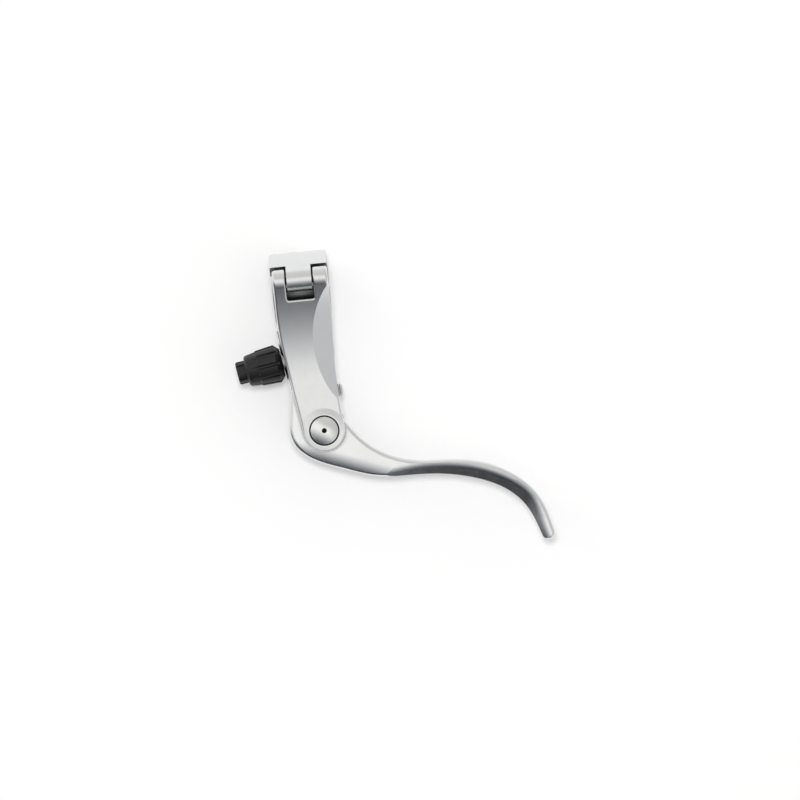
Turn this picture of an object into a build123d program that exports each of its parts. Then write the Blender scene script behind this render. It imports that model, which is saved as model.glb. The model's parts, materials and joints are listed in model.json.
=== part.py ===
import os
from math import acos, asin, atan2, cos, hypot, radians, sin, sqrt, tan

from build123d import *

# Inline brake lever on a hinged bar clamp, in millimetres.
# The origin is the centre of the bar. X runs along the bar, Y points back to the bar from the
# finger blade, Z points out of the face with the domed pivot.

# Fits
FIT = 0.01
RUN = 0.04
AIR = 0.3

# Bar clamp
BAR_D = 22.2
RING_WALL = 2.0
RING_WIDTH = 21.2
SPLIT_GAP = 0.8
KNUCKLE_R = 4.25
KNUCKLE_AIR = 0.25
HINGE_Y = 2.3
HINGE_PIN_D = 3.0
PIN_INSET = 0.5
PIN_CHAMFER = 0.3
TONGUE_WIDTH = 9.2
TONGUE_GAP = 0.5
NOTCH_GAP = 1.35
SLOT_RUN = 3.0
RING_EDGE_R = 0.7

# Clamp bolt, with the shank at the root of its thread
BOLT_D = 5.0
BOLT_ROOT_D = 4.2
BOLT_GRIP = 7.0
BOLT_SPARE = 1.0
BOLT_HEAD_D = 8.5
BOLT_HEAD_H = 3.0
BOLT_KEY = 4.0
BOLT_KEY_DEPTH = 1.8
BOLT_HEAD_EDGE_R = 0.5
BOLT_END_CHAMFER = 0.5
BOLT_WASHER_D = 9.0
BOLT_WASHER_T = 0.8
LUG_WALL = 1.4
LUG_WIDTH = 12.4
LUG_GAP = 0.6
CAP_LUG_T = 3.6
LUG_EDGE_R = 1.2

# Arm of the bracket
PIVOT_X = 3.8
PIVOT_Y = -54.2
EAR_R = 7.75
EAR_LEAVE = 6.0
ARM_T = 17.6
ARM_INSET = 0.7
SHOULDER_Y = -17.0
SHOULDER_R = 120.0
RIGHT_SHOULDER_Y = -9.5
FLANK_END_Y = -37.0
WAIST_INSET = 0.6
WAIST_Y = -27.0
ARM_EDGE_R = 1.0
SPOT_DEPTH = 0.35
SPOT_D = 12.2
SPOT_SLOPE = 2.2
SCOOP_X = 2.9
SCOOP_Y = -21.5
SCOOP_R = 40.0
SCOOP_DIP = 30.0
SLOT_CORNER_R = 0.8
SLOT_EDGE_R = 0.65

# Channel for the lever
LEVER_T = 8.8
THRUST_T = 0.5
THRUST_D = 11.5
SIDE_PLAY = 0.05
CHANNEL_WALL = 1.3
WEB_GAP = 1.0
HUB_R = 8.2
HUB_GAP = 0.9

# Pivot
POST_D = 6.0
POST_HEAD_D = 10.2
POST_HEAD_T = 1.4
POST_DOME_H = 1.1
POST_DIMPLE_D = 2.0
POST_DIMPLE_TIP_D = 0.2
POST_DIMPLE_DEPTH = 1.4
COUNTERBORE_D = 11.4
COUNTERBORE_DEPTH = 2.0
HEAD_WASHER_D = 11.2
HEAD_WASHER_T = 0.5
BUSH_D = 8.0
PIVOT_SCREW_D = 4.0
PIVOT_SCREW_L = 9.0
PIVOT_SCREW_SPARE = 0.5
PIVOT_SCREW_HEAD_D = 9.4
PIVOT_SCREW_EDGE_R = 0.5
PIVOT_KEY = 3.0
PIVOT_KEY_DEPTH = 1.2

# Lever
INNER_ARM_T = 10.4
INNER_ARM_PROUD = 0.9
INNER_ARM_EDGE_R = 2.0
INNER_ARM_END_R = 1.0
SEAT_BOSS_D = 8.6
SEAT_BOSS_H = 0.1
BLADE_EDGE_R = 1.6
BEVEL_TILT = 38.0
BEVEL_CREST_R = 4.5
FALL_R = 13.0
FALL_DOWN = 5.8
FALL_LEAN = 20.7
FALL_END = 50.0
TIP_R = 2.5
TIP_X = 79.5
TIP_Y = -45.8
TIP_LEAVE_LOW = 198.0
TIP_LEAVE_HIGH = 374.0
LOBE_R = 3.2
LOBE_X = -8.1
LOBE_Y = 15.5
THROAT_R = 6.0
HUB_LEAVE = 36.0

# Edges of the finger blade, from the pivot
LOWER_EDGE = [
    (-13.0, 3.0),
    (-11.7, -4.4),
    (-6.5, -9.7),
    (5.9, -15.1),
    (17.5, -18.75),
    (29.4, -19.5),
    (41.3, -20.1),
    (53.0, -22.5),
    (63.4, -26.8),
    (71.6, -34.0),
]
UPPER_EDGE = [
    (79.2, -35.8),
    (75.7, -29.4),
    (67.9, -22.25),
    (56.5, -16.95),
    (44.8, -15.1),
    (33.0, -14.2),
    (21.4, -10.35),
    (13.0, -3.75),
]

# How far the foot of the bevel stays outside the lower edge, from its second point to the tip
BEVEL_FOOT = [7.0, 7.0, 6.6, 4.9, 2.9, 2.2, 1.85, 1.9, 1.7, 3.7]

# Barrel adjuster
ADJUSTER_RUN = 10.3
KNOB_GAP = 0.25
KNOB_D = 14.3
KNOB_END_D = 10.4
KNOB_L = 13.7
KNOB_CHAMFER_L = 2.0
RIB_L = 8.9
RIB_END_D = 13.3
RIB_STEP = 0.35
CORE_END_D = 11.6
CORE_CHAMFER = 0.6
FLUTES = 10
FLUTE_R = 0.8
FLUTE_BOTTOM_D = 11.8
NOSE_D = 8.5
NOSE_L = 3.5
NOSE_CHAMFER = 0.4
NOSE_NOTCH_W = 0.9
NOSE_NOTCH_DEPTH = 0.45
STEM_D = 6.0
STEM_REACH = 9.2
STEM_HEAD_D = 8.0
STEM_HEAD_L = 6.0
STEM_FLANGE_GAP = 0.4
CABLE_HOLE_D = 2.4
HOUSING_D = 5.0
HOUSING_PLAY = 0.1
FERRULE_D = 6.7
FERRULE_INSET = 0.4
FERRULE_FLOOR = 2.0
STOP_DEPTH = 5.0

# Reach screw
REACH_SCREW_D = 5.0
REACH_SCREW_Y = -39.7
REACH_SCREW_OUT = 1.5
REACH_TIP_GAP = 0.3
REACH_TIP_D = 3.0
REACH_END_CHAMFER = 0.4
REACH_KEY = 2.5
REACH_KEY_DEPTH = 2.5

# Values that follow from the sizes above
BAR_R = BAR_D / 2
RING_R = BAR_R + RING_WALL
HALF = RING_WIDTH / 2
SPLIT_Y = SPLIT_GAP / 2
HINGE_Z = BAR_R + KNUCKLE_AIR + KNUCKLE_R
EAR_IN = TONGUE_WIDTH / 2 + TONGUE_GAP
SLOT_LOW_Y = HINGE_Y - KNUCKLE_R - SLOT_RUN
BOLT_Z = -(RING_R + AIR + LUG_WALL + BOLT_D / 2)
LUG_Z = BOLT_Z - BOLT_D / 2 - LUG_WALL
LUG_FACE_Y = HINGE_Y + 0.4 * BOLT_GRIP
CAP_LUG_Y = LUG_FACE_Y + LUG_GAP
HEAD_SEAT_Y = CAP_LUG_Y + CAP_LUG_T
FLAT_Z = ARM_T / 2
SPOT_Z = FLAT_Z - SPOT_DEPTH
POST_SEAT_Z = SPOT_Z - COUNTERBORE_DEPTH
HUB_Z = LEVER_T / 2
CHANNEL_Z = HUB_Z + THRUST_T + 2 * SIDE_PLAY
CHANNEL_TOP_Y = -(RING_R + CHANNEL_WALL)
POST_R = POST_D / 2
STEM_R = STEM_D / 2
FAR = 60.0


def tangent_points(c1, r1, c2, r2, side):
    """Ends of the outer tangent of two circles, on the left (1) or right (-1) of c1 to c2."""
    dx = c2[0] - c1[0]
    dy = c2[1] - c1[1]
    turn = atan2(dy, dx) + side * acos((r1 - r2) / hypot(dx, dy))
    nx = cos(turn)
    ny = sin(turn)
    return (c1[0] + r1 * nx, c1[1] + r1 * ny), (c2[0] + r2 * nx, c2[1] + r2 * ny)


def on_circle(c, r, angle):
    return (c[0] + r * cos(radians(angle)), c[1] + r * sin(radians(angle)))


def toward(c, p, r):
    """Point at r from c on the way to p."""
    k = r / hypot(p[0] - c[0], p[1] - c[1])
    return (c[0] + k * (p[0] - c[0]), c[1] + k * (p[1] - c[1]))


def touching_centre(c1, r1, c2, r2, r):
    """Centre of the circle of radius r that touches two circles from outside, right of c1 to c2."""
    dx = c2[0] - c1[0]
    dy = c2[1] - c1[1]
    d = hypot(dx, dy)
    along = ((r1 + r) ** 2 - (r2 + r) ** 2 + d**2) / (2 * d)
    aside = sqrt((r1 + r) ** 2 - along**2)
    return (c1[0] + (along * dx + aside * dy) / d, c1[1] + (along * dy - aside * dx) / d)


def arc_about(c, start, end):
    """Arc from start to end about c, the short way round."""
    r = hypot(start[0] - c[0], start[1] - c[1])
    mx = (start[0] + end[0]) / 2 - c[0]
    my = (start[1] + end[1]) / 2 - c[1]
    k = r / hypot(mx, my)
    return ThreePointArc(start, (c[0] + k * mx, c[1] + k * my), end)


def smooth(points, start_way, end_way):
    """Smooth curve through points that starts and ends in the given directions."""
    return Spline(points, tangents=[start_way, end_way], tangent_scalars=[1, 1])


def face_of(*curves):
    return make_face(Curve() + list(curves))


def slab(sketch, half):
    """Front view drawn in XY, made solid to the same depth on both sides."""
    return extrude(Pos(0, 0, -half) * sketch, 2 * half)


def rod(plane, r, start, end):
    """Cylinder along the normal of a plane, from start to end."""
    base = plane * Pos(0, 0, start)
    return base * Cylinder(r, end - start, align=(Align.CENTER, Align.CENTER, Align.MIN))


def hex_socket(plane, flats, start, end):
    sketch = plane * Pos(0, 0, start) * RegularPolygon(flats / 2, 6, major_radius=False)
    return extrude(sketch, end - start, dir=plane.z_dir)


# Frames: the bar, the pivot and the edge of the arm that leans from the clamp to the pivot
PIVOT = (PIVOT_X, PIVOT_Y)
SHOULDER = (-(HALF - ARM_INSET), SHOULDER_Y)
EDGE_END = tangent_points(SHOULDER, 0, PIVOT, EAR_R, -1)[1]
EDGE_L = hypot(EDGE_END[0] - SHOULDER[0], EDGE_END[1] - SHOULDER[1])
DOWN = ((EDGE_END[0] - SHOULDER[0]) / EDGE_L, (EDGE_END[1] - SHOULDER[1]) / EDGE_L)
OUT = (DOWN[1], -DOWN[0])


def lean(s, t):
    """Point s down the leaning edge and t out of it."""
    return (SHOULDER[0] + s * DOWN[0] + t * OUT[0], SHOULDER[1] + s * DOWN[1] + t * OUT[1])


def from_pivot(p):
    return (PIVOT[0] + p[0], PIVOT[1] + p[1])


ACROSS = Plane.YZ
PIVOT_UP = Plane((PIVOT_X, PIVOT_Y, 0), x_dir=(1, 0, 0), z_dir=(0, 0, 1))
PIVOT_DOWN = Plane((PIVOT_X, PIVOT_Y, 0), x_dir=(1, 0, 0), z_dir=(0, 0, -1))
BOLT_AXIS = Plane((0, 0, BOLT_Z), x_dir=(1, 0, 0), z_dir=(0, 1, 0))
SEAT_T = INNER_ARM_PROUD + SEAT_BOSS_H
ARM_BACK_T = INNER_ARM_PROUD - INNER_ARM_T
WEB_T = ARM_BACK_T - WEB_GAP
SEAT = lean(ADJUSTER_RUN, SEAT_T)
ADJUSTER = Plane((SEAT[0], SEAT[1], 0), x_dir=(0, 0, 1), z_dir=(OUT[0], OUT[1], 0))

HINGE = (HINGE_Y, HINGE_Z)
LUG_CENTRE = (-KNUCKLE_R / 2, LUG_Z + KNUCKLE_R)


def flank(centre, side):
    """Hollow flank from a round of the clamp down to the flat of the arm, in the YZ plane."""
    rise = side * centre[1] - FLAT_Z
    run = centre[0] - FLANK_END_Y
    r = (run**2 + rise**2 - KNUCKLE_R**2) / (2 * (rise + KNUCKLE_R))
    hollow = (FLANK_END_Y, side * (FLAT_Z + r))
    k = KNUCKLE_R / (r + KNUCKLE_R)
    start = (centre[0] + k * (hollow[0] - centre[0]), centre[1] + k * (hollow[1] - centre[1]))
    end = (FLANK_END_Y, side * FLAT_Z)
    return hollow, start, end


NEAR_HOLLOW, NEAR_START, NEAR_END = flank(HINGE, 1)
FAR_HOLLOW, FAR_START, FAR_END = flank(LUG_CENTRE, -1)


def arm_outline():
    """Front view of the arm, from the ears of the hinge to the ears of the pivot."""
    top = HINGE_Y + 2 * KNUCKLE_R
    right_end = on_circle(PIVOT, EAR_R, EAR_LEAVE)
    right_way = (sin(radians(EAR_LEAVE)), -cos(radians(EAR_LEAVE)))
    shoulder = (HALF, RIGHT_SHOULDER_Y)
    right = smooth([shoulder, (HALF - WAIST_INSET, WAIST_Y), right_end], (0, -1), right_way)
    bottom = on_circle(PIVOT, EAR_R, -90)
    outline = face_of(
        Line((HALF, top), shoulder),
        right,
        arc_about(PIVOT, right_end, bottom),
        arc_about(PIVOT, bottom, EDGE_END),
        Line(EDGE_END, SHOULDER),
        Line(SHOULDER, (SHOULDER[0], top)),
        Line((SHOULDER[0], top), (HALF, top)),
    )
    return fillet(outline.vertices().sort_by_distance((SHOULDER[0], SHOULDER[1], 0))[0], SHOULDER_R)


def arm_profile():
    """Side view of the arm, closed behind the round of the hinge."""
    end_y = PIVOT_Y - 2 * EAR_R
    back_y = HINGE_Y + KNUCKLE_R
    lug_low = (LUG_CENTRE[0], LUG_Z)
    crown = on_circle(HINGE, KNUCKLE_R, 60)
    return face_of(
        arc_about(NEAR_HOLLOW, NEAR_START, NEAR_END),
        Line(NEAR_END, (end_y, FLAT_Z)),
        Line((end_y, FLAT_Z), (end_y, -FLAT_Z)),
        Line((end_y, -FLAT_Z), FAR_END),
        arc_about(FAR_HOLLOW, FAR_END, FAR_START),
        arc_about(LUG_CENTRE, FAR_START, lug_low),
        Line(lug_low, (back_y, LUG_Z)),
        Line((back_y, LUG_Z), (back_y, HINGE_Z)),
        arc_about(HINGE, (back_y, HINGE_Z), crown),
        arc_about(HINGE, crown, NEAR_START),
    )


def cap_space():
    """All behind the parting of the clamp, except the round of the hinge."""
    space = Pos(0, -SPLIT_Y, 0) * Box(FAR, FAR, FAR, align=(Align.CENTER, Align.MIN, Align.CENTER))
    return space - Pos(0, HINGE_Y, HINGE_Z) * Cylinder(KNUCKLE_R, FAR, rotation=(0, 90, 0))


def channel():
    """Space of the inner arm and hub of the lever between the two plates."""
    left = -RING_WIDTH
    top_s = (CHANNEL_TOP_Y - SHOULDER[1] - WEB_T * OUT[1]) / DOWN[1]
    web_top = lean(top_s, WEB_T)
    web_low = lean(EDGE_L, WEB_T)
    space = Polyline(
        (left, CHANNEL_TOP_Y), web_top, web_low, (left, web_low[1]), (left, CHANNEL_TOP_Y)
    )
    sketch = make_face(space) + Pos(PIVOT[0], PIVOT[1]) * Circle(HUB_R + HUB_GAP)
    return slab(sketch, CHANNEL_Z)


def scoop(side):
    """Large cylinder that hollows the right shoulder of the arm."""
    hollow_r = hypot(NEAR_START[0] - NEAR_HOLLOW[0], NEAR_START[1] - NEAR_HOLLOW[1])
    tilt = asin((SCOOP_Y - FLANK_END_Y) / hollow_r)
    z = NEAR_HOLLOW[1] - hollow_r * cos(tilt)
    dip = radians(SCOOP_DIP)
    ny = -sin(tilt)
    nz = cos(tilt)
    lift = (sin(dip), cos(dip) * ny, cos(dip) * nz)
    axis = (cos(dip), -sin(dip) * ny, -side * sin(dip) * nz)
    centre = (
        SCOOP_X + SCOOP_R * lift[0],
        SCOOP_Y + SCOOP_R * lift[1],
        side * (z + SCOOP_R * lift[2]),
    )
    return Plane(centre, z_dir=axis) * Cylinder(SCOOP_R, FAR)


def bracket_body():
    blank = extrude(ACROSS * arm_profile(), RING_WIDTH, both=True)
    arm = blank & slab(arm_outline(), FAR / 2)
    rims = [e for e in arm.edges() if abs(e.center().Z) > CHANNEL_Z]
    rims = [e for e in rims if abs(e.tangent_at(0.5).X) < 0.999]
    arm = fillet(rims, ARM_EDGE_R) - tongue_slot()
    mouth = [e for e in arm.edges() if e.center().Z > FLAT_Z and abs(e.center().X) < EAR_IN + FIT]
    mouth = [e for e in mouth if e.center().Y > SLOT_LOW_Y - FIT and abs(e.tangent_at(0.5).Z) < 0.99]
    arm = fillet(mouth, SLOT_EDGE_R)
    ring = extrude(ACROSS * Circle(RING_R), HALF, both=True)
    ring = fillet(ring.edges().filter_by(GeomType.CIRCLE), RING_EDGE_R)
    lug_box = Pos(0, LUG_FACE_Y, (LUG_Z - RING_R - AIR) / 2) * Box(
        LUG_WIDTH,
        LUG_FACE_Y - LUG_CENTRE[0],
        -LUG_Z - RING_R - AIR,
        align=(Align.CENTER, Align.MAX, Align.CENTER),
    )
    lug_box = fillet(lug_box.edges().filter_by(Axis.Y).sort_by(Axis.Z)[:2], LUG_EDGE_R)
    body = arm + ring - cap_space() + lug_box
    body -= Cylinder(BAR_R, FAR, rotation=(0, 90, 0))
    body -= tongue_turn()
    body -= channel()
    body -= scoop(1)
    body -= scoop(-1)
    for plane in (PIVOT_UP, PIVOT_DOWN):
        spot = Cone(SPOT_D / 2, SPOT_D / 2 + SPOT_SLOPE * 2, SPOT_DEPTH * 2)
        body -= plane * Pos(0, 0, SPOT_Z + SPOT_DEPTH) * spot
        body -= rod(plane, COUNTERBORE_D / 2, POST_SEAT_Z, FLAT_Z)
    body -= rod(PIVOT_UP, POST_R + FIT, -FLAT_Z, FLAT_Z)
    pin = Plane((0, HINGE_Y, HINGE_Z), z_dir=(1, 0, 0))
    body -= rod(pin, HINGE_PIN_D / 2 + FIT, -FAR, FAR)
    body -= rod(BOLT_AXIS, BOLT_D / 2, LUG_FACE_Y - BOLT_GRIP - BOLT_SPARE, FAR)
    stop = -(SEAT_T - WEB_T) - stop_land()
    body -= rod(ADJUSTER, HOUSING_D / 2 + HOUSING_PLAY, -FAR, stop)
    body -= rod(ADJUSTER, CABLE_HOLE_D / 2, -FAR, SEAT_T)
    reach = Plane((0, REACH_SCREW_Y, 0), z_dir=(1, 0, 0))
    body -= rod(reach, REACH_SCREW_D / 2 + RUN, lean(EDGE_L / 2, 0)[0], FAR)
    return body


def stop_land():
    """Wall left in the web behind the seat of the cable housing."""
    right = HALF - WAIST_INSET
    inner = SEAT[0] - (SEAT_T - WEB_T) * OUT[0]
    return (right - inner) / -OUT[0] - STOP_DEPTH


def tongue_slot():
    """Slot between the two ears, rounded at its lower corners."""
    slot = Pos(0, SLOT_LOW_Y, 0) * Box(2 * EAR_IN, FAR, FAR, align=(Align.CENTER, Align.MIN, Align.MIN))
    return fillet(slot.edges().filter_by(Axis.Z).sort_by(Axis.Y)[:2], SLOT_CORNER_R)


def tongue_turn():
    """Room for the round of the tongue."""
    round_r = KNUCKLE_R + TONGUE_GAP
    return Pos(0, HINGE_Y, HINGE_Z) * Cylinder(round_r, 2 * EAR_IN, rotation=(0, 90, 0))


def clamp_cap():
    top_ring, top_hinge = tangent_points((0, 0), RING_R, HINGE, KNUCKLE_R, -1)
    band = Circle(RING_R) - Pos(SPLIT_Y, 0) * Rectangle(
        FAR, FAR, align=(Align.MAX, Align.CENTER)
    )
    web = make_face(Polyline((SPLIT_Y, 0), top_ring, top_hinge, HINGE, (SPLIT_Y, 0)))
    cap = extrude(ACROSS * (band + web), HALF, both=True)
    rims = [
        e
        for e in cap.edges()
        if abs(abs(e.center().X) - HALF) < 0.01 and e.center().Y > RING_R / 2
    ]
    cap = fillet(rims, RING_EDGE_R)
    cap += extrude(ACROSS * Pos(HINGE[0], HINGE[1]) * Circle(KNUCKLE_R), TONGUE_WIDTH / 2, both=True)
    lug_h = RING_WALL - BAR_R - LUG_Z
    lug = Pos(0, CAP_LUG_Y, LUG_Z) * Box(
        LUG_WIDTH, CAP_LUG_T, lug_h, align=(Align.CENTER, Align.MIN, Align.MIN)
    )
    cap += fillet(lug.edges().filter_by(Axis.Y).sort_by(Axis.Z)[:2], LUG_EDGE_R)
    cap -= Cylinder(BAR_R, FAR, rotation=(0, 90, 0))
    notch_r = KNUCKLE_R + NOTCH_GAP
    for side in (-1, 1):
        notch = Pos(side * (TONGUE_WIDTH / 2 + FAR / 2), HINGE_Y, HINGE_Z)
        cap -= notch * Cylinder(notch_r, FAR, rotation=(0, 90, 0))
    pin = Plane((0, HINGE_Y, HINGE_Z), z_dir=(1, 0, 0))
    cap -= rod(pin, HINGE_PIN_D / 2 + RUN, -FAR, FAR)
    cap -= rod(BOLT_AXIS, BOLT_D / 2 + AIR, 0, HEAD_SEAT_Y + CAP_LUG_T)
    return cap


def clamp_hinge_pin():
    pin = Plane((0, HINGE_Y, HINGE_Z), z_dir=(1, 0, 0))
    half = HALF - ARM_INSET - PIN_INSET
    shape = rod(pin, HINGE_PIN_D / 2, -half, half)
    return chamfer(shape.edges().filter_by(GeomType.CIRCLE), PIN_CHAMFER)


def clamp_bolt():
    seat = HEAD_SEAT_Y + BOLT_WASHER_T
    head = rod(BOLT_AXIS, BOLT_HEAD_D / 2, seat, seat + BOLT_HEAD_H)
    head = fillet(head.edges().group_by(Axis.Y)[-1], BOLT_HEAD_EDGE_R)
    shank = rod(BOLT_AXIS, BOLT_ROOT_D / 2, LUG_FACE_Y - BOLT_GRIP, seat)
    shank = chamfer(shank.edges().group_by(Axis.Y)[0], BOLT_END_CHAMFER)
    top = seat + BOLT_HEAD_H
    return head + shank - hex_socket(BOLT_AXIS, BOLT_KEY, top - BOLT_KEY_DEPTH, FAR)


def clamp_washer():
    ring = rod(BOLT_AXIS, BOLT_WASHER_D / 2, HEAD_SEAT_Y, HEAD_SEAT_Y + BOLT_WASHER_T)
    return ring - rod(BOLT_AXIS, BOLT_D / 2 + FIT, 0, FAR)


def blade_outline():
    """Front view of hub and finger blade, one smooth closed edge."""
    tip = from_pivot((TIP_X, TIP_Y))
    lobe = from_pivot((LOBE_X, LOBE_Y))
    lower = [from_pivot(p) for p in LOWER_EDGE]
    upper = [from_pivot(p) for p in UPPER_EDGE]
    lobe_left = tangent_points(lower[0], 0, lobe, LOBE_R, 1)[1]
    flare = (lower[0][0] - lobe_left[0], lower[0][1] - lobe_left[1])
    tip_low = on_circle(tip, TIP_R, TIP_LEAVE_LOW)
    tip_end = on_circle(tip, TIP_R, (TIP_LEAVE_LOW + TIP_LEAVE_HIGH) / 2)
    tip_high = on_circle(tip, TIP_R, TIP_LEAVE_HIGH)
    low_way = (-sin(radians(TIP_LEAVE_LOW)), cos(radians(TIP_LEAVE_LOW)))
    high_way = (-sin(radians(TIP_LEAVE_HIGH)), cos(radians(TIP_LEAVE_HIGH)))
    hub_start = on_circle(PIVOT, HUB_R, HUB_LEAVE)
    hub_way = (-sin(radians(HUB_LEAVE)), cos(radians(HUB_LEAVE)))
    throat = touching_centre(PIVOT, HUB_R, lobe, LOBE_R, THROAT_R)
    hub_end = toward(PIVOT, throat, HUB_R)
    lobe_right = toward(lobe, throat, LOBE_R)
    lobe_top = on_circle(lobe, LOBE_R, 100)
    return face_of(
        Line(lobe_left, lower[0]),
        smooth(lower + [tip_low], flare, low_way),
        arc_about(tip, tip_low, tip_end),
        arc_about(tip, tip_end, tip_high),
        smooth([tip_high] + upper + [hub_start], high_way, hub_way),
        arc_about(PIVOT, hub_start, hub_end),
        arc_about(throat, hub_end, lobe_right),
        arc_about(lobe, lobe_right, lobe_top),
        arc_about(lobe, lobe_top, lobe_left),
    )


def finger_line(inset):
    """Foot of the bevel, moved inwards from the finger side and run out straight at both ends."""
    tip = from_pivot((TIP_X, TIP_Y))
    tip_way = (-sin(radians(TIP_LEAVE_LOW)), cos(radians(TIP_LEAVE_LOW)))
    points = [from_pivot(p) for p in LOWER_EDGE] + [on_circle(tip, TIP_R, TIP_LEAVE_LOW)]
    ways = [(b[0] - a[0], b[1] - a[1]) for a, b in zip(points, points[2:])] + [tip_way]
    moved = []
    for p, way, foot in zip(points[1:], ways, BEVEL_FOOT):
        k = (inset - foot) / hypot(way[0], way[1])
        moved.append((p[0] - k * way[1], p[1] + k * way[0]))
    lead = toward(moved[0], (moved[0][0] - ways[0][0], moved[0][1] - ways[0][1]), FAR)
    out = (moved[-1][0] + FAR * tip_way[0], moved[-1][1] + FAR * tip_way[1])
    return Line(lead, moved[0]), smooth(moved, ways[0], tip_way), Line(moved[-1], out)


def finger_blank(line):
    """All behind the finger side."""
    lead = line[0] @ 0
    out = line[2] @ 1
    far_x = out.X + FAR
    return face_of(
        *line,
        Line((out.X, out.Y), (far_x, out.Y)),
        Line((far_x, out.Y), (far_x, lead.Y)),
        Line((far_x, lead.Y), (lead.X, lead.Y)),
    )


def finger_bevel():
    """Blank with the two slopes of the finger side, rounded over to the faces."""
    inset = HUB_Z / tan(radians(BEVEL_TILT))
    crest = finger_line(inset)
    half = loft([finger_blank(finger_line(0)), Pos(0, 0, HUB_Z) * finger_blank(crest)], ruled=True)
    middles = [curve.center() for curve in crest]
    rims = [e for e in half.edges() if abs(e.center().Z - HUB_Z) < FIT]
    rims = [e for e in rims if min(hypot(e.center().X - m.X, e.center().Y - m.Y) for m in middles) < AIR]
    half = fillet(rims, BEVEL_CREST_R)
    return half + mirror(half, Plane.XY)


def face_fall(side):
    """What lies above the large round over which the face falls from the hub to the finger side."""
    lean_way = radians(-FALL_LEAN)
    start = on_circle(PIVOT, FALL_DOWN, -90 - FALL_LEAN)
    top = Plane(
        (start[0], start[1], side * HUB_Z),
        x_dir=(sin(lean_way), -cos(lean_way), 0),
        z_dir=(cos(lean_way), sin(lean_way), 0),
    )
    box = top * Box(2 * HUB_R, FAR, 2 * FALL_END, align=(Align.MIN, Align.CENTER, Align.CENTER))
    drop = Pos(0, 0, -side * FALL_R)
    return box - drop * (top * Cylinder(FALL_R, 4 * FALL_END))


def inner_arm():
    """Arm of the lever between the plates, with the seat of the adjuster."""
    top_y = CHANNEL_TOP_Y - AIR
    top_s = (top_y - SHOULDER[1] - INNER_ARM_PROUD * OUT[1]) / DOWN[1]
    back_s = (top_y - SHOULDER[1] - ARM_BACK_T * OUT[1]) / DOWN[1]
    low_s = EDGE_L - HUB_R / 2
    outline = Polyline(
        lean(top_s, INNER_ARM_PROUD),
        lean(back_s, ARM_BACK_T),
        lean(low_s, ARM_BACK_T),
        lean(low_s, INNER_ARM_PROUD),
        lean(top_s, INNER_ARM_PROUD),
    )
    arm = slab(make_face(outline), HUB_Z)
    front = [
        e
        for e in arm.edges()
        if abs(e.tangent_at(0.5).Z) < 0.1 and abs(e.tangent_at(0.5).Y) > 0.9
        and e.center().X < lean(EDGE_L / 2, -INNER_ARM_T / 2)[0]
    ]
    arm = fillet(front, INNER_ARM_EDGE_R)
    arm = fillet(arm.edges().filter_by(Axis.X).sort_by(Axis.Y)[-2:], INNER_ARM_END_R)
    return arm + rod(ADJUSTER, SEAT_BOSS_D / 2, -INNER_ARM_T / 2, 0)


def lever_blade():
    blade = slab(blade_outline(), HUB_Z)
    for side in (-1, 1):
        blade -= face_fall(side)
    walls = [f for f in blade.faces() if abs(f.normal_at(f.center()).Z) < 0.1]
    rims = ShapeList([e for f in walls for e in f.edges() if abs(e.tangent_at(0.5).Z) < 0.9])
    blade = fillet(rims, BLADE_EDGE_R) & finger_bevel()
    lever = blade + inner_arm()
    lever -= rod(PIVOT_UP, BUSH_D / 2 + FIT, -FAR, FAR)
    lever -= rod(ADJUSTER, STEM_R + RUN, -2 * INNER_ARM_T, SEAT_T)
    return lever


def pivot_post():
    seat_z = POST_SEAT_Z + HEAD_WASHER_T
    rim_z = seat_z + POST_HEAD_T
    head = rod(PIVOT_UP, POST_HEAD_D / 2, seat_z, rim_z)
    dome_r = ((POST_HEAD_D / 2) ** 2 + POST_DOME_H**2) / (2 * POST_DOME_H)
    dome = PIVOT_UP * Pos(0, 0, rim_z + POST_DOME_H - dome_r) * Sphere(dome_r)
    dome &= rod(PIVOT_UP, POST_HEAD_D / 2, rim_z, FAR)
    post = head + dome + rod(PIVOT_UP, POST_R, -POST_SEAT_Z, seat_z)
    top = rim_z + POST_DOME_H
    post -= PIVOT_UP * Pos(0, 0, top) * Cone(
        POST_DIMPLE_TIP_D / 2,
        POST_DIMPLE_D / 2,
        POST_DIMPLE_DEPTH,
        align=(Align.CENTER, Align.CENTER, Align.MAX),
    )
    bore_end = POST_SEAT_Z - PIVOT_SCREW_L - PIVOT_SCREW_SPARE
    bore = rod(PIVOT_DOWN, PIVOT_SCREW_D / 2 + FIT, bore_end, FAR)
    return post - bore


def pivot_head_washer():
    ring = rod(PIVOT_UP, HEAD_WASHER_D / 2, POST_SEAT_Z, POST_SEAT_Z + HEAD_WASHER_T)
    return ring - rod(PIVOT_UP, POST_R + RUN, -FAR, FAR)


def pivot_screw():
    top = POST_SEAT_Z + POST_HEAD_T
    head = rod(PIVOT_DOWN, PIVOT_SCREW_HEAD_D / 2, POST_SEAT_Z, top)
    head = fillet(head.edges().group_by(Axis.Z)[0], PIVOT_SCREW_EDGE_R)
    shank = rod(PIVOT_DOWN, PIVOT_SCREW_D / 2, POST_SEAT_Z - PIVOT_SCREW_L, POST_SEAT_Z)
    return head + shank - hex_socket(PIVOT_DOWN, PIVOT_KEY, top - PIVOT_KEY_DEPTH, FAR)


def pivot_bush():
    return rod(PIVOT_UP, BUSH_D / 2, -HUB_Z, HUB_Z) - rod(PIVOT_UP, POST_R + RUN, -FAR, FAR)


def pivot_washer(plane):
    start = HUB_Z
    ring = rod(plane, THRUST_D / 2, start, start + THRUST_T)
    return ring - rod(plane, POST_R + RUN, -FAR, FAR)


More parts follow.
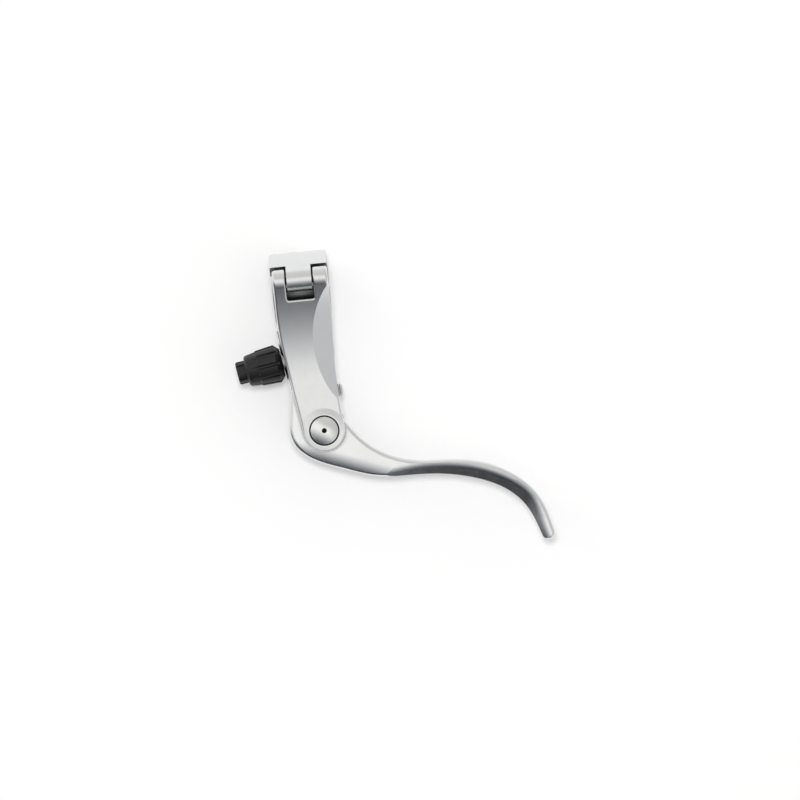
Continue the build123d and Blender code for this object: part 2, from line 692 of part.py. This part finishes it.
def adjuster_knob():
    core_d = RIB_END_D - 2 * RIB_STEP
    end = KNOB_GAP + KNOB_L
    nose_end = end + NOSE_L
    section = Polyline(
        (0, KNOB_GAP),
        (KNOB_END_D / 2, KNOB_GAP),
        (KNOB_D / 2, KNOB_GAP + KNOB_CHAMFER_L),
        (RIB_END_D / 2, KNOB_GAP + RIB_L),
        (core_d / 2, KNOB_GAP + RIB_L + RIB_STEP),
        (CORE_END_D / 2, end - CORE_CHAMFER),
        (CORE_END_D / 2 - CORE_CHAMFER, end),
        (NOSE_D / 2, end),
        (NOSE_D / 2, nose_end - NOSE_CHAMFER),
        (NOSE_D / 2 - NOSE_CHAMFER, nose_end),
        (0, nose_end),
        (0, KNOB_GAP),
    )
    knob = revolve(Plane.XZ * make_face(section), Axis.Z)
    flute = Pos(FLUTE_BOTTOM_D / 2 + FLUTE_R, 0, KNOB_GAP + KNOB_L / 2) * Cylinder(FLUTE_R, KNOB_L)
    notch_l = 2 * (NOSE_L - NOSE_CHAMFER)
    notch = Pos(NOSE_D / 2, 0, nose_end) * Box(2 * NOSE_NOTCH_DEPTH, NOSE_NOTCH_W, notch_l)
    for i in range(FLUTES):
        turn = Rot(0, 0, i * 360 / FLUTES)
        knob -= turn * flute
        knob -= turn * notch
    knob = ADJUSTER * knob
    head_end = KNOB_GAP + STEM_FLANGE_GAP + STEM_HEAD_L
    knob -= rod(ADJUSTER, STEM_HEAD_D / 2 + FIT, 0, head_end)
    return knob - rod(ADJUSTER, FERRULE_D / 2, 0, FAR)


def adjuster_stem():
    head_start = KNOB_GAP + STEM_FLANGE_GAP
    stem = rod(ADJUSTER, STEM_R, -STEM_REACH, head_start)
    stem += rod(ADJUSTER, STEM_HEAD_D / 2, head_start, head_start + STEM_HEAD_L)
    return stem - rod(ADJUSTER, CABLE_HOLE_D / 2, -FAR, FAR)


def adjuster_ferrule():
    start = KNOB_GAP + STEM_FLANGE_GAP + STEM_HEAD_L + SIDE_PLAY
    end = KNOB_GAP + KNOB_L + NOSE_L - FERRULE_INSET
    ferrule = rod(ADJUSTER, FERRULE_D / 2 - RUN, start, end)
    ferrule -= rod(ADJUSTER, HOUSING_D / 2 + HOUSING_PLAY, start + FERRULE_FLOOR, FAR)
    return ferrule - rod(ADJUSTER, CABLE_HOLE_D / 2, 0, FAR)


def reach_screw():
    s = (REACH_SCREW_Y - SHOULDER[1] - ARM_BACK_T * OUT[1]) / DOWN[1]
    start = lean(s, ARM_BACK_T)[0] + REACH_TIP_GAP
    end = HALF - WAIST_INSET / 2 + REACH_SCREW_OUT
    axis = Plane((0, REACH_SCREW_Y, 0), z_dir=(1, 0, 0))
    screw = rod(axis, REACH_SCREW_D / 2, start, end)
    screw = chamfer(screw.edges().group_by(Axis.X)[0], (REACH_SCREW_D - REACH_TIP_D) / 2)
    screw = chamfer(screw.edges().group_by(Axis.X)[-1], REACH_END_CHAMFER)
    return screw - hex_socket(axis, REACH_KEY, end - REACH_KEY_DEPTH, FAR)


os.makedirs("parts", exist_ok=True)
export_step(bracket_body(), "parts/bracket_body.step")
export_step(clamp_cap(), "parts/clamp_cap.step")
export_step(clamp_hinge_pin(), "parts/clamp_hinge_pin.step")
export_step(clamp_bolt(), "parts/clamp_bolt.step")
export_step(clamp_washer(), "parts/clamp_washer.step")
export_step(lever_blade(), "parts/lever_blade.step")
export_step(pivot_post(), "parts/pivot_post.step")
export_step(pivot_head_washer(), "parts/pivot_head_washer.step")
export_step(pivot_screw(), "parts/pivot_screw.step")
export_step(pivot_bush(), "parts/pivot_bush.step")
export_step(pivot_washer(PIVOT_UP), "parts/pivot_washer_near.step")
export_step(pivot_washer(PIVOT_DOWN), "parts/pivot_washer_far.step")
export_step(adjuster_knob(), "parts/adjuster_knob.step")
export_step(adjuster_stem(), "parts/adjuster_stem.step")
export_step(adjuster_ferrule(), "parts/adjuster_ferrule.step")
export_step(reach_screw(), "parts/reach_screw.step")
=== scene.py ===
import json
import math

import bmesh
import bpy
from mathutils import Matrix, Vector


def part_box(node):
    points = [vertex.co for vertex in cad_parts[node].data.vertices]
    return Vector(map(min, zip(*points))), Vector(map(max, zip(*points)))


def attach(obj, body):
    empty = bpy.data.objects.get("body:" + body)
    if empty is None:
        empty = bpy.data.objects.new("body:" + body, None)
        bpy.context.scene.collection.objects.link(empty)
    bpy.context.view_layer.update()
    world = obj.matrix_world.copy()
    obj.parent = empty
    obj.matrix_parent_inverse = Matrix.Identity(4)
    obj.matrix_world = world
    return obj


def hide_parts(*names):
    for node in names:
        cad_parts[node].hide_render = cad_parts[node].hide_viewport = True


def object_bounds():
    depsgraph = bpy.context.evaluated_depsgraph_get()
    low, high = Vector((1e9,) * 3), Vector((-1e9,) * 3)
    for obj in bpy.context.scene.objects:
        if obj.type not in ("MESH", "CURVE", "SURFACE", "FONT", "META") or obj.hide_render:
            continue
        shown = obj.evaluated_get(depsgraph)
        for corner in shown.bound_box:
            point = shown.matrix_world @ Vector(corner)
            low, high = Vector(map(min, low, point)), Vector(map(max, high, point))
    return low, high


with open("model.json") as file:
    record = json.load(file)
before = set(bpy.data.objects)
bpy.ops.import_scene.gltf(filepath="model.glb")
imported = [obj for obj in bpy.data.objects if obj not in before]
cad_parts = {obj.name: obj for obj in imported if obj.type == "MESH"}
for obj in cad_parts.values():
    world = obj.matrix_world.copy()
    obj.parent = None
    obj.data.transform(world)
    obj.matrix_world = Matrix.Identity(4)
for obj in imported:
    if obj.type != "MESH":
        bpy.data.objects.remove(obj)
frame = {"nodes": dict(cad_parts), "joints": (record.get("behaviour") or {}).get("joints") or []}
cad_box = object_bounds()
NODES = frame["nodes"]
JOINTS = {joint["name"]: joint for joint in frame["joints"]}
MM = 0.001

# View: straight down on the face with the domed pivot, with the bar rising a little to the right
PHOTO_PIXELS = 800
PIXEL = 0.372 * MM
BAR_PIXEL = (300.3, 286.5)
ROLL = math.radians(5.5)
LENS = 200.0
SENSOR = 36.0
FOCUS_Z = 6 * MM

# Stage
FLOOR_GAP = 0.2 * MM
FLOOR_SIZE = 12.0
FLOOR_COLOUR = (0.9, 0.9, 0.9, 1)
FLOOR_GLOW = 0.08

# Studio light by the angle towards its dark side, in degrees from the upright plane that faces that side.
# The dark side lies to the blade's side and a little to the adjuster's side.
DARK_TURN = math.radians(30)
SKY = [
    (-90, (0.84, 0.83, 0.81)),
    (-55, (0.80, 0.79, 0.77)),
    (-24, (0.66, 0.66, 0.65)),
    (-5, (1.12, 1.11, 1.08)),
    (6, (1.12, 1.11, 1.08)),
    (15, (0.82, 0.825, 0.82)),
    (30, (0.37, 0.385, 0.40)),
    (46, (0.10, 0.108, 0.118)),
    (60, (0.04, 0.043, 0.048)),
    (90, (0.04, 0.043, 0.048)),
]

# Lighter adjuster's side, but not towards the blade, and darker far side: the X range over which each
# comes in, the Y range over which it comes in, and its light
SIDES = [
    ((-0.45, -0.85), (0.0, 0.15), (1.0, 1.0, 0.99)),
    ((0.25, 0.65), (-2.0, -1.5), (0.63, 0.635, 0.64)),
]

# Key lamp that draws the soft shadow on the floor
KEY_PLACE = Vector((0.015, 0.075, 1.6))
KEY_SIZE = 0.2
KEY_POWER = 10.0

# Edges, by how far a rounded normal turns from the face, and crevices, by how open a place is, for the
# painted shade in crevices
EDGE_FLAT = 0.995
EDGE_SHARP = 0.86
CREVICE_SHUT = 0.35
CREVICE_OPEN = 0.8

# Finishes: sizes of clouds, sheen and worn edges in millimetres, and shares of the colour, among them the
# share kept in the painted shade of gaps and corners
ALLOY_CLOUD = 9.0
ALLOY_SHEEN = 1.6
ALLOY_EDGE = 0.25
ALLOY_WORN = 1.06
# Share of the alloy's colour kept in the painted shade of its gaps
ALLOY_CREVICE_SHADE = 0.10
STEEL_CLOUD = 3.0
STEEL_SHEEN = 1.5
STEEL_SHADE = 0.95
# Reach of the steel's painted shade in gaps in millimetres, and the share of its colour kept in that shade
STEEL_GAP = 1.6
STEEL_CREVICE_SHADE = 0.05
RING_RATE = 0.3
RING_WAVER = 0.4
PLASTIC_CLOUD = 3.0
PLASTIC_SHEEN = 0.9
PLASTIC_SHADE = 0.8
PLASTIC_EDGE = 0.3
BRONZE_PORE = 0.18
BRONZE_PORE_RANGE = (0.38, 0.52)
BRONZE_PORE_DEPTH = 0.01
BRONZE_SHEEN = 0.5

# Threaded screws, in millimetres along each screw and out from its axis
TURN_STEPS = 48
THREAD_STEPS = 10
THREAD_STEEP = 1.25
SHARP_ANGLE = math.radians(38)
STEM_THREAD = {"start": -8.9, "end": 0.35, "root": 2.55, "crest": 2.98, "pitch": 1.0}
STEM_LOW = -9.2
STEM_LOW_R = 2.4
STEM_SHOULDER = 0.65
STEM_TOP = 6.65
STEM_HEAD_R = 4.0
STEM_BORE_R = 1.2
REACH_THREAD = {"start": 0.6, "root": 2.1, "crest": 2.48, "pitch": 0.8}
REACH_POINT_R = 1.5
REACH_END_R = 1.9
REACH_END_CHAMFER = 0.3
REACH_KEY = 2.5
REACH_KEY_DEPTH = 2.5
BOLT_THREAD = {"start": 0.5, "end": 9.0, "root": 2.05, "crest": 2.35, "pitch": 0.8}
BOLT_POINT_R = 1.6
BOLT_NECK_R = 2.1
BOLT_HEAD_R = 4.25
BOLT_HEAD_H = 3.0
BOLT_HEAD_EDGE_R = 0.5
BOLT_KEY = 4.0
BOLT_KEY_DEPTH = 1.8


def node(tree, kind, **settings):
    """New shader node, with its sockets and properties set by name."""
    made = tree.nodes.new("ShaderNode" + kind)
    for name, value in settings.items():
        socket = made.inputs.get(name.replace("_", " "))
        if socket is None:
            setattr(made, name, value)
        else:
            socket.default_value = value
    return made


def principled(name, **sockets):
    """New material with one shader, whose sockets are set by name."""
    material = bpy.data.materials.new(name)
    material.use_nodes = True
    tree = material.node_tree
    shader = tree.nodes["Principled BSDF"]
    for socket, value in sockets.items():
        shader.inputs[socket.replace("_", " ")].default_value = value
    return material, tree, shader


def millimetres(tree, stretch=(1, 1, 1)):
    """Place on the piece in millimetres, drawn out along an axis by a stretch."""
    place = node(tree, "TexCoord")
    scale = node(tree, "Mapping", Scale=[1 / MM / s for s in stretch])
    tree.links.new(place.outputs["Object"], scale.inputs["Vector"])
    return scale.outputs["Vector"]


def noise(tree, size, stretch=(1, 1, 1), detail=3.0):
    """Cloudy pattern with spots of about the given size in millimetres."""
    made = node(tree, "TexNoise", Scale=1 / size, Detail=detail, Roughness=0.55)
    tree.links.new(millimetres(tree, stretch), made.inputs["Vector"])
    return made.outputs["Fac"]


def spread(tree, value, low, high, start=0.3, end=0.7):
    """A pattern's values from start to end, carried to low and high."""
    made = node(tree, "MapRange", From_Min=start, From_Max=end, To_Min=low, To_Max=high)
    tree.links.new(value, made.inputs["Value"])
    return made.outputs["Result"]


def mix(tree, factor, first, second):
    """Goes from the first colour to the second, each a plain colour or a socket."""
    made = tree.nodes.new("ShaderNodeMix")
    made.data_type = "RGBA"
    tree.links.new(factor, made.inputs["Factor"])
    for name, colour in (("A", first), ("B", second)):
        if isinstance(colour, bpy.types.NodeSocket):
            tree.links.new(colour, made.inputs[name])
        else:
            made.inputs[name].default_value = (*colour, 1)
    return made.outputs["Result"]


def shade(colour, share):
    """A colour made darker or lighter by a share."""
    return [min(1, share * c) for c in colour]


def edges(tree, radius):
    """Near 1 along edges and 0 on faces."""
    rounded = node(tree, "Bevel", Radius=radius * MM, samples=6)
    face = node(tree, "NewGeometry")
    cosine = node(tree, "VectorMath", operation="DOT_PRODUCT")
    tree.links.new(rounded.outputs["Normal"], cosine.inputs[0])
    tree.links.new(face.outputs["Normal"], cosine.inputs[1])
    return spread(tree, cosine.outputs["Value"], 0, 1, EDGE_FLAT, EDGE_SHARP)


def crevice_shade(tree, colour, reach, shade_colour):
    """A colour that goes over to a darker painted shade in gaps and corners narrower than about the reach.
    """
    closed = node(tree, "AmbientOcclusion", Distance=reach * MM, samples=8)
    share = spread(tree, closed.outputs["AO"], 1, 0, CREVICE_SHUT, CREVICE_OPEN)
    return mix(tree, share, colour, shade_colour)


def bump(tree, shader, height, depth):
    """Relief of the given depth in millimetres."""
    made = node(tree, "Bump", Distance=depth * MM)
    tree.links.new(height, made.inputs["Height"])
    tree.links.new(made.outputs["Normal"], shader.inputs["Normal"])


def alloy(name, dark, light, rough, grain, grain_depth, gap, stretch=(1, 1, 1)):
    """Satin silver alloy with a fine grain, faint clouds, brighter worn edges and painted shade in its
    gaps.
    """
    material, tree, shader = principled(name, Metallic=1.0)
    clouds = mix(tree, spread(tree, noise(tree, ALLOY_CLOUD), 0, 1), dark, light)
    worn = mix(tree, edges(tree, ALLOY_EDGE), clouds, shade(light, ALLOY_WORN))
    # Painted shade: the colour darkens in gaps and corners
    crevice_shaded = crevice_shade(tree, worn, gap, shade(dark, ALLOY_CREVICE_SHADE))
    tree.links.new(crevice_shaded, shader.inputs["Base Color"])
    tree.links.new(spread(tree, noise(tree, ALLOY_SHEEN, stretch), *rough), shader.inputs["Roughness"])
    bump(tree, shader, noise(tree, grain, stretch, 2.0), grain_depth)
    return material


def steel(name, colour, rough, grain, grain_depth, centre=None, anisotropic=0.0):
    """Plated steel with a fine grain, which runs in turning rings about a centre where one is given."""
    material, tree, shader = principled(name, Metallic=1.0, Anisotropic=anisotropic)
    clouds = mix(tree, spread(tree, noise(tree, STEEL_CLOUD), 0, 1), shade(colour, STEEL_SHADE), colour)
    # Painted shade: the colour darkens in gaps and corners
    crevice_shaded = crevice_shade(tree, clouds, STEEL_GAP, shade(colour, STEEL_CREVICE_SHADE))
    tree.links.new(crevice_shaded, shader.inputs["Base Color"])
    tree.links.new(spread(tree, noise(tree, STEEL_SHEEN), *rough), shader.inputs["Roughness"])
    if centre is None:
        bump(tree, shader, noise(tree, grain), grain_depth)
        return material
    tangent = node(tree, "Tangent", direction_type="RADIAL", axis="Z")
    tree.links.new(tangent.outputs["Tangent"], shader.inputs["Tangent"])
    place = node(tree, "TexCoord")
    shift = node(tree, "Mapping", Location=[-c / MM for c in centre], Scale=[1 / MM] * 3)
    tree.links.new(place.outputs["Object"], shift.inputs["Vector"])
    rings = node(tree, "TexWave", wave_type="RINGS", rings_direction="Z")
    rings.inputs["Scale"].default_value = RING_RATE / grain
    rings.inputs["Distortion"].default_value = RING_WAVER
    tree.links.new(shift.outputs["Vector"], rings.inputs["Vector"])
    bump(tree, shader, rings.outputs["Fac"], grain_depth)
    return material


def plastic(name, colour, worn_colour, rough, grain, grain_depth):
    """Moulded plastic with a fine spark grain and edges rubbed a little paler."""
    material, tree, shader = principled(name, Specular_IOR_Level=0.5)
    clouds = mix(tree, spread(tree, noise(tree, PLASTIC_CLOUD), 0, 1), shade(colour, PLASTIC_SHADE), colour)
    worn = mix(tree, edges(tree, PLASTIC_EDGE), clouds, worn_colour)
    tree.links.new(worn, shader.inputs["Base Color"])
    tree.links.new(spread(tree, noise(tree, PLASTIC_SHEEN), *rough), shader.inputs["Roughness"])
    bump(tree, shader, noise(tree, grain, detail=2.0), grain_depth)
    return material


def bronze(name, pore_colour, colour, rough):
    """Sintered bronze, with darker pores."""
    material, tree, shader = principled(name, Metallic=1.0)
    pores = spread(tree, noise(tree, BRONZE_PORE, detail=4.0), 0, 1, *BRONZE_PORE_RANGE)
    tree.links.new(mix(tree, pores, pore_colour, colour), shader.inputs["Base Color"])
    tree.links.new(spread(tree, noise(tree, BRONZE_SHEEN), *rough), shader.inputs["Roughness"])
    bump(tree, shader, pores, BRONZE_PORE_DEPTH)
    return material


def studio_sky():
    """Broad soft light from above and from the bar's side, falling off towards the blade's side."""
    world = bpy.data.worlds.new("studio")
    bpy.context.scene.world = world
    world.use_nodes = True
    tree = world.node_tree
    way = node(tree, "TexCoord")
    parts = node(tree, "SeparateXYZ")
    tree.links.new(way.outputs["Generated"], parts.inputs["Vector"])
    ahead = node(tree, "VectorMath", operation="DOT_PRODUCT")
    ahead.inputs[1].default_value = (-math.sin(DARK_TURN), -math.cos(DARK_TURN), 0)
    tree.links.new(way.outputs["Generated"], ahead.inputs[0])
    angle = node(tree, "Math", operation="ARCSINE")
    tree.links.new(ahead.outputs["Value"], angle.inputs[0])
    first, last = SKY[0][0], SKY[-1][0]
    share = spread(tree, angle.outputs["Value"], 0, 1, math.radians(first), math.radians(last))
    ramp = node(tree, "ValToRGB")
    ramp.color_ramp.interpolation = "EASE"
    stops = ramp.color_ramp.elements
    while len(stops) < len(SKY):
        stops.new(0.5)
    for stop, (degrees, colour) in zip(stops, SKY):
        stop.position = (degrees - first) / (last - first)
        stop.color = (*colour, 1)
    tree.links.new(share, ramp.inputs["Fac"])
    light = ramp.outputs["Color"]
    for x_range, y_range, colour in SIDES:
        beside = node(tree, "Math", operation="MULTIPLY")
        tree.links.new(spread(tree, parts.outputs["X"], 0, 1, *x_range), beside.inputs[0])
        tree.links.new(spread(tree, parts.outputs["Y"], 0, 1, *y_range), beside.inputs[1])
        light = mix(tree, beside.outputs["Value"], light, colour)
    tree.links.new(light, tree.nodes["Background"].inputs["Color"])


def key_lamp():
    """Soft lamp from the bar's side for the shadow on the floor. Metal mirrors the sky instead of it."""
    data = bpy.data.lights.new("key", "AREA")
    data.shape = "DISK"
    data.size = KEY_SIZE
    data.energy = KEY_POWER
    lamp = bpy.data.objects.new("key", data)
    bpy.context.scene.collection.objects.link(lamp)
    lamp.location = KEY_PLACE
    lamp.rotation_euler = KEY_PLACE.to_track_quat("Z", "Y").to_euler()
    lamp.visible_glossy = False


def floor():
    """Plain pale floor under the part. It glows a little for the eye and in reflections."""
    bpy.ops.mesh.primitive_plane_add(size=FLOOR_SIZE, location=(0, 0, cad_box[0].z - FLOOR_GAP))
    plane = bpy.context.object
    plane.name = "floor"
    material = bpy.data.materials.new("floor")
    material.use_nodes = True
    tree = material.node_tree
    tree.nodes.clear()
    paint = node(tree, "BsdfDiffuse", Color=FLOOR_COLOUR)
    ray = node(tree, "LightPath")
    seen = ray.outputs["Is Camera Ray"]
    for kind in ("Is Glossy Ray", "Is Transmission Ray"):
        either = node(tree, "Math", operation="ADD", use_clamp=True)
        tree.links.new(seen, either.inputs[0])
        tree.links.new(ray.outputs[kind], either.inputs[1])
        seen = either.outputs["Value"]
    strength = node(tree, "Math", operation="MULTIPLY")
    strength.inputs[1].default_value = FLOOR_GLOW
    tree.links.new(seen, strength.inputs[0])
    glow = node(tree, "Emission")
    tree.links.new(strength.outputs["Value"], glow.inputs["Strength"])
    both = node(tree, "AddShader")
    tree.links.new(paint.outputs["BSDF"], both.inputs[0])
    tree.links.new(glow.outputs["Emission"], both.inputs[1])
    output = node(tree, "OutputMaterial")
    tree.links.new(both.outputs["Shader"], output.inputs["Surface"])
    plane.data.materials.append(material)


def camera():
    """Looks straight down, placed so that the bar's centre falls on its pixel."""
    right = Vector((math.cos(ROLL), -math.sin(ROLL), 0))
    up = Vector((math.sin(ROLL), math.cos(ROLL), 0))
    middle = PHOTO_PIXELS / 2
    centre = right * (middle - BAR_PIXEL[0]) * PIXEL + up * (BAR_PIXEL[1] - middle) * PIXEL
    data = bpy.data.cameras.new("camera")
    data.lens = LENS
    data.sensor_width = SENSOR
    made = bpy.data.objects.new("camera", data)
    bpy.context.scene.collection.objects.link(made)
    distance = PHOTO_PIXELS * PIXEL * LENS / SENSOR
    made.location = centre + Vector((0, 0, FOCUS_Z + distance))
    made.rotation_euler = (0, 0, -ROLL)
    data.clip_end = 2 * distance
    bpy.context.scene.camera = made


def hexagon(flats):
    """Radius of a hexagon by angle, from its width across flats."""
    return lambda angle: flats / 2 / math.cos((angle + math.pi / 6) % (math.pi / 3) - math.pi / 6)


def thread(start, end, root, crest, pitch):
    """Rings of a thread that runs out at both ends."""

    def ring(along):
        runout = min(1, (along - start) / pitch, (end - along) / pitch)

        def radius(angle):
            turn = (along / pitch - angle / (2 * math.pi)) % 1
            ridge = min(1, THREAD_STEEP * (1 - abs(2 * turn - 1)))
            return root + (crest - root) * ridge * runout

        return along, radius

    count = round((end - start) / pitch * THREAD_STEPS)
    return [ring(start + (end - start) * i / count) for i in range(count + 1)]


def turned(name, start, axis, rings, hollow=False):
    """Piece turned about an axis, from rings given by their place along it and their radius by angle."""
    axis = Vector(axis).normalized()
    side = axis.orthogonal().normalized()
    up = axis.cross(side)
    shape = bmesh.new()
    rows = []
    for along, radius in rings:
        row = []
        for i in range(TURN_STEPS):
            angle = 2 * math.pi * i / TURN_STEPS
            r = radius(angle) if callable(radius) else radius
            out = side * math.cos(angle) + up * math.sin(angle)
            row.append(shape.verts.new(Vector(start) + (axis * along + out * r) * MM))
        rows.append(row)
    pairs = list(zip(rows, rows[1:]))
    if hollow:
        pairs.append((rows[-1], rows[0]))
    else:
        shape.faces.new(rows[0])
        shape.faces.new(rows[-1])
    for low, high in pairs:
        for i in range(TURN_STEPS):
            j = (i + 1) % TURN_STEPS
            shape.faces.new((low[i], low[j], high[j], high[i]))
    bmesh.ops.recalc_face_normals(shape, faces=shape.faces)
    for face in shape.faces:
        face.smooth = True
    for edge in shape.edges:
        edge.smooth = edge.calc_face_angle() < SHARP_ANGLE
    mesh = bpy.data.meshes.new(name)
    shape.to_mesh(mesh)
    shape.free()
    piece = bpy.data.objects.new(name, mesh)
    bpy.context.scene.collection.objects.link(piece)
    return piece


def stem_screw():
    """Hollow stem of the adjuster, with a head inside the knob."""
    rings = [(STEM_LOW, STEM_BORE_R), (STEM_LOW, STEM_LOW_R)]
    rings += thread(**STEM_THREAD)
    rings += [(STEM_SHOULDER, STEM_THREAD["root"]), (STEM_SHOULDER, STEM_HEAD_R)]
    rings += [(STEM_TOP, STEM_HEAD_R), (STEM_TOP, STEM_BORE_R)]
    turn = JOINTS["adjuster_turn"]
    return turned("threaded_stem", turn["pos_m"], turn["axis"], rings, hollow=True)


def reach_set_screw():
    """Set screw with a blunt point and a hexagon socket."""
    low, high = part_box("reach_screw")
    length = (high[0] - low[0]) / MM
    socket = hexagon(REACH_KEY)
    rings = [(0, REACH_POINT_R)]
    rings += thread(end=length - REACH_END_CHAMFER, **REACH_THREAD)
    rings += [(length, REACH_END_R), (length, socket), (length - REACH_KEY_DEPTH, socket)]
    middle = [(a + b) / 2 for a, b in zip(low, high)]
    return turned("threaded_reach_screw", (low[0], middle[1], middle[2]), (1, 0, 0), rings)


def clamp_cap_screw():
    """Low-head cap screw of the clamp."""
    low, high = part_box("clamp_bolt")
    length = (high[1] - low[1]) / MM
    seat = length - BOLT_HEAD_H
    round_start = length - BOLT_HEAD_EDGE_R
    face_r = BOLT_HEAD_R - BOLT_HEAD_EDGE_R
    socket = hexagon(BOLT_KEY)
    rings = [(0, BOLT_POINT_R)]
    rings += thread(**BOLT_THREAD)
    rings += [(seat, BOLT_NECK_R), (seat, BOLT_HEAD_R), (round_start, BOLT_HEAD_R)]
    for degrees in (30, 60, 90):
        turn = math.radians(degrees)
        along = round_start + BOLT_HEAD_EDGE_R * math.sin(turn)
        rings.append((along, face_r + BOLT_HEAD_EDGE_R * math.cos(turn)))
    rings += [(length, socket), (length - BOLT_KEY_DEPTH, socket)]
    middle = [(a + b) / 2 for a, b in zip(low, high)]
    return turned("threaded_clamp_bolt", (middle[0], low[1], middle[2]), (0, 1, 0), rings)


def screws(steel_finish, dark_finish):
    """Threaded screws in place of the plain ones of the solids."""
    made = [
        (stem_screw(), "adjuster_stem", "adjuster", "dark_alloy", dark_finish),
        (reach_set_screw(), "reach_screw", "reach_screw", "steel", steel_finish),
        (clamp_cap_screw(), "clamp_bolt", "clamp_cap", "steel", steel_finish),
    ]
    for piece, solid, body, slot, material in made:
        piece.data.materials.append(material)
        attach(piece, body)
        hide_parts(solid)


def dress():
    """A material for every node, and threaded screws in place of three of them."""
    satin = alloy(
        "satin_alloy", dark=(0.75, 0.755, 0.76), light=(0.78, 0.785, 0.79),
        rough=(0.28, 0.34), grain=0.16, grain_depth=0.0015, gap=6.0,
    )
    polished = alloy(
        "polished_alloy", dark=(0.77, 0.775, 0.78), light=(0.80, 0.805, 0.81),
        rough=(0.20, 0.25), grain=0.12, grain_depth=0.0008, gap=2.2, stretch=(3, 3, 1),
    )
    dark = alloy(
        "dark_alloy", dark=(0.10, 0.10, 0.105), light=(0.16, 0.16, 0.17),
        rough=(0.32, 0.44), grain=0.2, grain_depth=0.006, gap=2.0,
    )
    zinc = steel(
        "zinc_steel", colour=(0.66, 0.65, 0.62),
        rough=(0.28, 0.42), grain=0.25, grain_depth=0.006,
    )
    dome = steel(
        "turned_steel", colour=(0.82, 0.82, 0.81),
        rough=(0.20, 0.23), grain=0.12, grain_depth=0.0004,
        centre=JOINTS["lever_pivot"]["pos_m"], anisotropic=0.35,
    )
    black = plastic(
        "black_plastic", colour=(0.006, 0.006, 0.007), worn_colour=(0.014, 0.014, 0.015),
        rough=(0.38, 0.46), grain=0.22, grain_depth=0.012,
    )
    slip = plastic(
        "slip_polymer", colour=(0.78, 0.76, 0.70), worn_colour=(0.84, 0.83, 0.80),
        rough=(0.5, 0.65), grain=0.3, grain_depth=0.008,
    )
    bush = bronze(
        "sintered_bronze", pore_colour=(0.20, 0.13, 0.06), colour=(0.62, 0.45, 0.24), rough=(0.35, 0.55),
    )
    finish = {
        "bracket_body": satin,
        "clamp_cap": satin,
        "lever_blade": polished,
        "clamp_hinge_pin": zinc,
        "clamp_bolt": zinc,
        "clamp_washer": zinc,
        "pivot_screw": zinc,
        "reach_screw": zinc,
        "pivot_post": dome,
        "pivot_bush": bush,
        # The black washer under the dome is a piece of its own, and its black also stands in for the shade
        # in the ring of gap around the dome
        "pivot_head_washer": black,
        "pivot_washer_near": slip,
        "pivot_washer_far": slip,
        "adjuster_knob": black,
        "adjuster_stem": dark,
        "adjuster_ferrule": dark,
    }
    for name, material in finish.items():
        slots = NODES[name].data.materials
        slots.clear()
        slots.append(material)
    screws(zinc, dark)


bpy.context.scene.view_settings.view_transform = "Standard"
studio_sky()
key_lamp()
floor()
camera()
dress()
